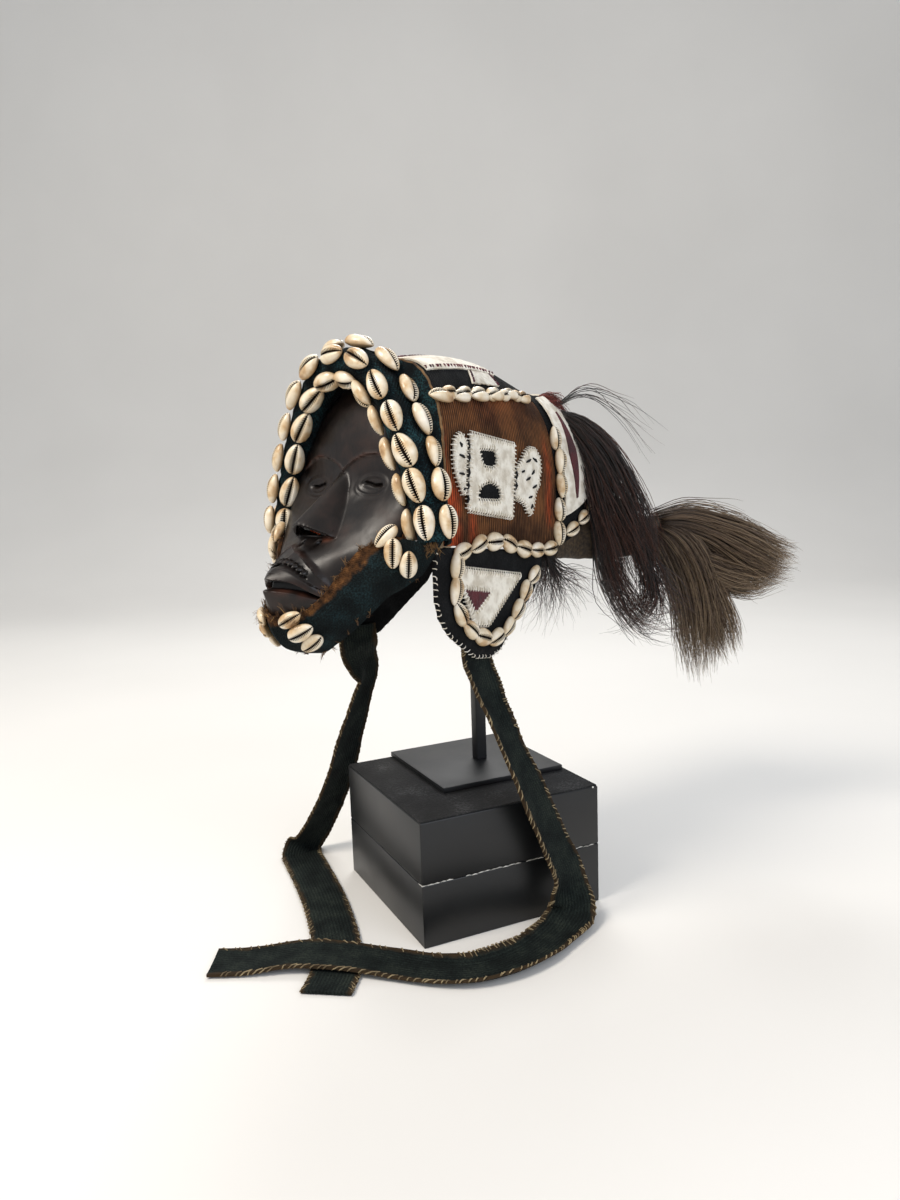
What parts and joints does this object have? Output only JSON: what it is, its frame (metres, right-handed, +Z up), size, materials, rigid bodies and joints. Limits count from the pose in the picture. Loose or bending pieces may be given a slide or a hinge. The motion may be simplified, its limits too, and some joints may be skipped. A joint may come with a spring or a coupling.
{
  "type": "dan mask",
  "caption": "Carved dark wooden face mask in a cloth hood sewn with cowrie shells and felt, with ear flaps, tie straps and a hair tail, on a rod and black base.",
  "frame": {"origin": "centre of the base's underside", "axes": "+Z up; the face looks along -Y; +X is the wearer's left, the side with the near tie strap"},
  "size_m": [0.3152, 0.4871, 0.4269],
  "materials": {
    "mask_wood": "carved and rubbed dark brown to black, half gloss",
    "indigo_cloth": "woven, dyed dark indigo, worn",
    "brown_cloth": "ribbed brown cloth with orange threads",
    "black_cloth": "black woven cloth",
    "strap_cloth": "narrow woven strip with overcast edges",
    "white_felt": "off-white felt with blanket stitch edges",
    "red_felt": "dark red felt",
    "cowrie_shell": "glossy shell with a dark toothed slit",
    "hide": "stiff brown hide with short hair",
    "dark_hair": "long dark brown hair",
    "grey_hair": "grey-brown tail hair",
    "red_fibre": "red-brown fibre binding",
    "base_paint": "satin black paint, chipped white at the joint",
    "stand_steel": "matt black painted steel"
  },
  "bodies": {
    "root": {"base_block_lower": "base_paint", "base_block_upper": "base_paint", "stand_plate": "stand_steel", "stand_rod": "stand_steel", "face_mask": "mask_wood", "hood_border": "indigo_cloth", "jaw_cloth": "indigo_cloth", "border_shells_inner": "cowrie_shell", "border_shells_middle": "cowrie_shell", "border_shells_outer": "cowrie_shell", "cheek_shells_left": "cowrie_shell", "cheek_shells_right": "cowrie_shell", "chin_shells_left": "cowrie_shell", "chin_shells_right": "cowrie_shell", "hood_side_left": "brown_cloth", "hood_side_right": "brown_cloth", "hood_crown": "black_cloth", "hood_back": "black_cloth", "ear_flap_left": "black_cloth", "ear_flap_right": "black_cloth", "side_felt_centre_left": "white_felt", "side_felt_centre_right": "white_felt", "side_felt_front_left": "white_felt", "side_felt_front_right": "white_felt", "side_felt_rear_left": "white_felt", "side_felt_rear_right": "white_felt", "side_patch_upper_left": "black_cloth", "side_patch_upper_right": "black_cloth", "side_patch_lower_left": "black_cloth", "side_patch_lower_right": "black_cloth", "flap_felt_left": "white_felt", "flap_felt_right": "white_felt", "flap_red_left": "red_felt", "flap_red_right": "red_felt", "crown_felt": "white_felt", "crown_felt_arm_left": "white_felt", "crown_felt_arm_right": "white_felt", "back_felt": "white_felt", "top_seam_shells_left": "cowrie_shell", "top_seam_shells_right": "cowrie_shell", "crown_edge_shells_left": "cowrie_shell", "crown_edge_shells_right": "cowrie_shell", "back_seam_shells_left": "cowrie_shell", "back_seam_shells_right": "cowrie_shell", "hem_shells_left": "cowrie_shell", "hem_shells_right": "cowrie_shell", "flap_shells_left": "cowrie_shell", "flap_shells_right": "cowrie_shell", "nape_shells": "cowrie_shell", "strap_left": "strap_cloth", "strap_right": "strap_cloth", "hide_tail": "hide", "tuft_grey": "grey_hair", "tuft_dark": "dark_hair", "tuft_root": "red_fibre", "tuft_small": "dark_hair"}
  },
  "joints": []
}
